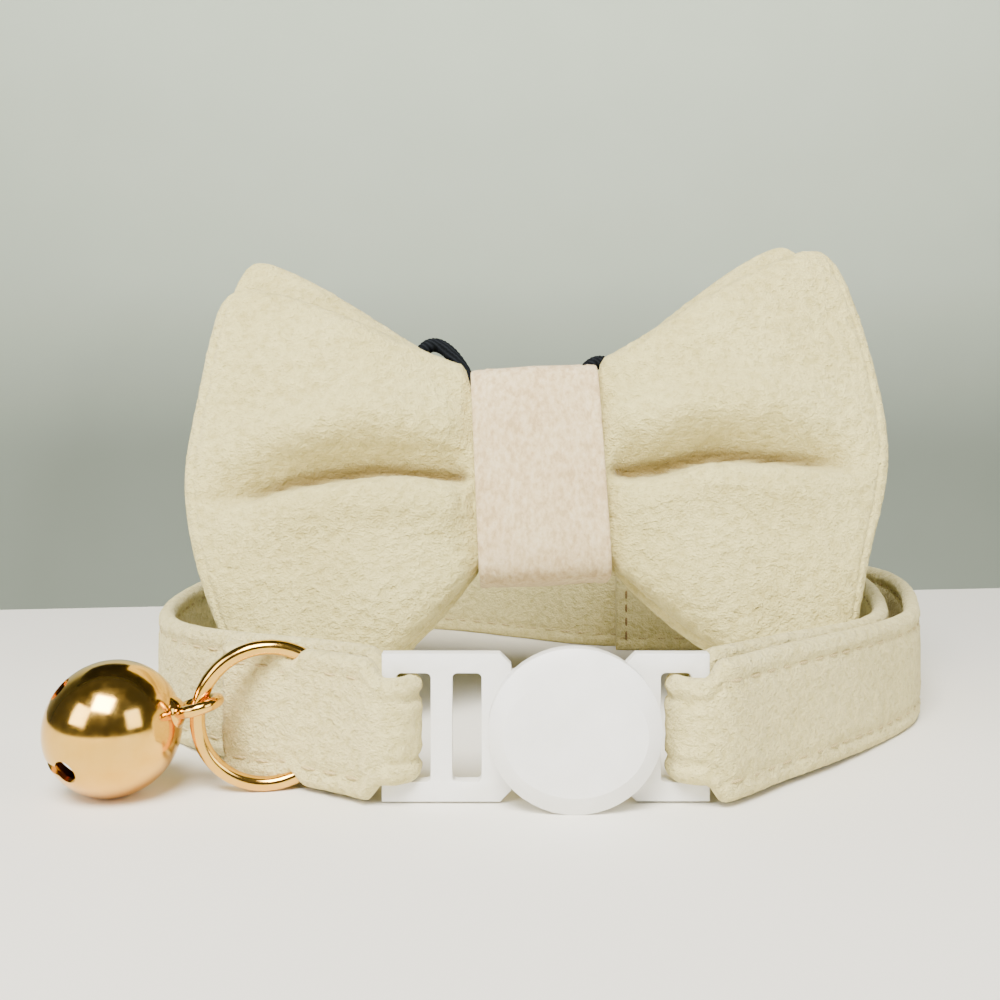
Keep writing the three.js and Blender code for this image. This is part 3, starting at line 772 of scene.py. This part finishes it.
def buckle_piece(node, name):
    """The CAD solid with softened edges."""
    source = next(o for o in bpy.data.objects if o.name == node)
    made = bpy.data.objects.new(name, source.data.copy())
    bpy.context.scene.collection.objects.link(made)
    form = bmesh.new()
    form.from_mesh(made.data)
    bmesh.ops.remove_doubles(form, verts=form.verts, dist=1e-6)
    bmesh.ops.dissolve_limit(
        form, angle_limit=math.radians(1.0), verts=form.verts, edges=form.edges,
    )
    form.to_mesh(made.data)
    form.free()
    bevel = made.modifiers.new("soft_edges", "BEVEL")
    bevel.width = 0.22 * MM
    bevel.segments = 3
    bevel.limit_method = "ANGLE"
    bevel.angle_limit = math.radians(24)
    bevel.use_clamp_overlap = True
    apply_modifiers(made)
    return finish_piece(shade(made, 40), "plastic", PLASTIC, node)


def torus_mesh(name, radius, wire, turns, sides):
    t = np.linspace(0, 2 * math.pi, turns, endpoint=False)[:, None]
    angle = np.linspace(0, 2 * math.pi, sides, endpoint=False)[None, :]
    points = np.stack([
        (radius + wire * np.cos(angle)) * np.cos(t),
        (radius + wire * np.cos(angle)) * np.sin(t),
        np.broadcast_to(wire * np.sin(angle), (turns, sides)),
    ], axis=2)
    made = new_object(name, points.reshape(-1, 3) * MM, tube_faces(turns, sides, True))
    return fix_normals(made)


def ring_piece():
    made = torus_mesh("ring_wire", RING["radius"], RING["wire"], 160, 28)
    centre = Vector((RING["x"], RING["y"], RING["radius"] + RING["wire"])) + ORIGIN
    made.data.transform(
        Matrix.Translation(centre * MM)
        @ Matrix.Rotation(math.radians(RING["turn"]), 4, "Z")
        @ Matrix.Rotation(math.pi / 2, 4, "X")
    )
    return finish_piece(shade(made), "gold", GOLD, "bell_ring")


def bell_place():
    turn = math.radians(RING["turn"])
    rise = EYE["height"] - RING["radius"] - RING["wire"]
    out = math.sqrt(RING["radius"] ** 2 - rise**2)
    eye = Vector((RING["x"] - out * math.cos(turn), RING["y"] - out * math.sin(turn), EYE["height"]))
    tip = math.asin((EYE["height"] - BELL["radius"]) / EYE["reach"])
    centre = Vector((eye.x - EYE["reach"] * math.cos(tip), eye.y, BELL["radius"])) + ORIGIN
    return Matrix.Translation(centre * MM) @ Matrix.Rotation(-tip, 4, "Y")


def bell_shell():
    made = new_object("bell_shell", [], [])
    form = bmesh.new()
    bmesh.ops.create_uvsphere(form, u_segments=128, v_segments=64, radius=BELL["radius"] * MM)
    bmesh.ops.rotate(form, verts=form.verts, matrix=Matrix.Rotation(math.pi / 2, 3, "Y"))
    form.to_mesh(made.data)
    form.free()
    wall = made.modifiers.new("wall", "SOLIDIFY")
    wall.thickness = BELL["wall"] * MM
    wall.offset = -1
    start = -BELL["radius"] * math.cos(math.radians(BELL["slit_reach"]))
    cutters = []
    for size in ((BELL["slit"], 2 * BELL["radius"]), (2 * BELL["radius"], BELL["slit"])):
        cutter = new_object("slit_cutter", [], [])
        form = bmesh.new()
        bmesh.ops.create_cube(form, size=1.0)
        form.to_mesh(cutter.data)
        form.free()
        length = BELL["radius"] + 1 + start
        cutter.data.transform(
            Matrix.Translation(((start - length / 2) * MM, 0, 0))
            @ Matrix.Diagonal((length * MM, size[0] * MM, size[1] * MM, 1.0))
        )
        cut = made.modifiers.new("slit", "BOOLEAN")
        cut.operation = "DIFFERENCE"
        cut.solver = "EXACT"
        cut.object = cutter
        cutters.append(cutter)
    slope = math.radians(BELL["slit_reach"])
    for turn in (0.0, 0.5, 1.0, 1.5):
        drill = new_object("hole_cutter", [], [])
        form = bmesh.new()
        bmesh.ops.create_cone(
            form, segments=28, cap_ends=True,
            radius1=BELL["hole"] * MM, radius2=BELL["hole"] * MM, depth=4 * MM,
        )
        form.to_mesh(drill.data)
        form.free()
        drill.data.transform(
            Matrix.Rotation(turn * math.pi, 4, "X")
            @ Matrix.Rotation(slope, 4, "Y")
            @ Matrix.Translation((-BELL["radius"] * MM, 0, 0))
            @ Matrix.Rotation(math.pi / 2, 4, "Y")
        )
        cut = made.modifiers.new("hole", "BOOLEAN")
        cut.operation = "DIFFERENCE"
        cut.solver = "EXACT"
        cut.object = drill
        cutters.append(drill)
    apply_modifiers(made)
    for cutter in cutters:
        bpy.data.objects.remove(cutter)
    return made


def bell_pieces():
    place = bell_place()
    shell = bell_shell()
    shell.data.transform(place @ Matrix.Rotation(math.radians(20), 4, "X"))
    finish_piece(shade(shell, 35), "gold", GOLD, "bell")

    eye = torus_mesh("bell_eye", EYE["radius"], EYE["wire"], 64, 20)
    eye.data.transform(place @ Matrix.Translation((EYE["reach"] * MM, 0, 0)))
    finish_piece(shade(eye), "gold", GOLD)

    start, end = BELL["radius"] - 0.35, BELL["radius"] + 0.75
    profile = ((0.0, 1.7), (0.25, 1.62), (0.5, 1.35), (0.75, 1.0), (1.0, 0.55))
    sides = 40
    points = [
        (start + (end - start) * at, r * math.cos(2 * math.pi * k / sides), r * math.sin(2 * math.pi * k / sides))
        for at, r in profile
        for k in range(sides)
    ]
    boss = new_object("bell_boss", np.array(points) * MM, tube_faces(len(profile), sides))
    boss.data.transform(place)
    fix_normals(boss)
    finish_piece(shade(boss, 50), "gold", GOLD)


# ---- camera, floor and lights ----

def camera():
    data = bpy.data.cameras.new("camera")
    data.lens = 40.2
    data.sensor_width = 36.0
    data.clip_start = 0.01
    data.shift_y = -0.081
    made = bpy.data.objects.new("camera", data)
    bpy.context.scene.collection.objects.link(made)
    made.location = (Vector((-7.2, -110.0, 37.8)) + ORIGIN) * MM
    made.rotation_euler = (math.pi / 2, 0.0, 0.0)
    bpy.context.scene.camera = made


def stage_look(name, stops):
    look = Look(name, stops[0][1], 0.75)
    tone = look.ramp(look.noise(60.0, 2.0), stops)
    look.link(tone, look.shader.inputs["Base Color"])
    look.set("Specular IOR Level", 0.2)
    return look.material


def stage():
    """A pale table top, a plain wall, and a dark card above the view."""
    slope, reach = 0.135, 0.9
    y_left, y_right = (0.081 + slope * x for x in (-reach, reach))
    table = new_object(
        "table",
        [(-reach, -reach, 0), (reach, -reach, 0), (reach, y_right, 0), (-reach, y_left, 0)],
        [(0, 1, 2, 3)],
    )
    wall = new_object(
        "wall",
        [(-3, 0.8, -1.5), (3, 0.8, -1.5), (3, 0.8, 3), (-3, 0.8, 3)],
        [(0, 1, 2, 3)],
    )
    cards = new_object(
        "dark_card",
        [(-0.3, 0.36, 0.24), (-0.3, 0.03, 0.24), (0.3, 0.03, 0.24), (0.3, 0.36, 0.24)],
        [(0, 1, 2, 3)],
    )
    cards.data.materials.append(stage_look("black_card", ((0.3, (0.02, 0.02, 0.02)), (0.7, (0.03, 0.03, 0.03)))))
    table.data.materials.append(stage_look("table_top", ((0.3, (0.86, 0.83, 0.74)), (0.7, (0.88, 0.85, 0.76)))))
    wall_look = stage_look("wall_paint", ((0.3, (0.66, 0.74, 0.58)), (0.7, (0.68, 0.76, 0.60))))
    wall.data.materials.append(wall_look)


def light(name, place, size, power, color=(1.0, 1.0, 1.0), aim=(0.0, 0.0, 0.025)):
    data = bpy.data.lights.new(name, "AREA")
    data.shape = "RECTANGLE"
    data.size, data.size_y = size
    data.energy = power
    data.color = color
    made = bpy.data.objects.new(name, data)
    bpy.context.scene.collection.objects.link(made)
    made.location = place
    made.rotation_euler = (Vector(aim) - Vector(place)).to_track_quat("-Z", "Y").to_euler()


def lights():
    light("key_soft", (-0.08, -0.38, 0.48), (0.3, 0.26), 9.8, (1.0, 0.985, 0.96))
    light("front_left", (-0.42, -0.42, 0.3), (0.3, 0.3), 2.4, (1.0, 0.99, 0.97))
    light("front_right", (0.5, -0.42, 0.3), (0.3, 0.36), 1.8)
    light("wall_wash", (0.0, 0.4, 0.75), (1.6, 0.2), 9.0, (1.0, 1.0, 0.98), (0.0, 0.8, 0.0))
    world = bpy.data.worlds.new("studio")
    world.use_nodes = True
    world.node_tree.nodes["Background"].inputs["Color"].default_value = (0.80, 0.82, 0.80, 1.0)
    world.node_tree.nodes["Background"].inputs["Strength"].default_value = 0.1
    bpy.context.scene.world = world


camera()
stage()
lights()
strap_piece()
strap_stitches()
seam_stitches()
sleeve_piece("front", "bow_front")
sleeve_piece("back", "bow_back")
knot_piece()
elastic_piece("left")
elastic_piece("right")
buckle_piece("buckle_socket", "socket_plastic")
buckle_piece("buckle_plug", "plug_plastic")
ring_piece()
bell_pieces()
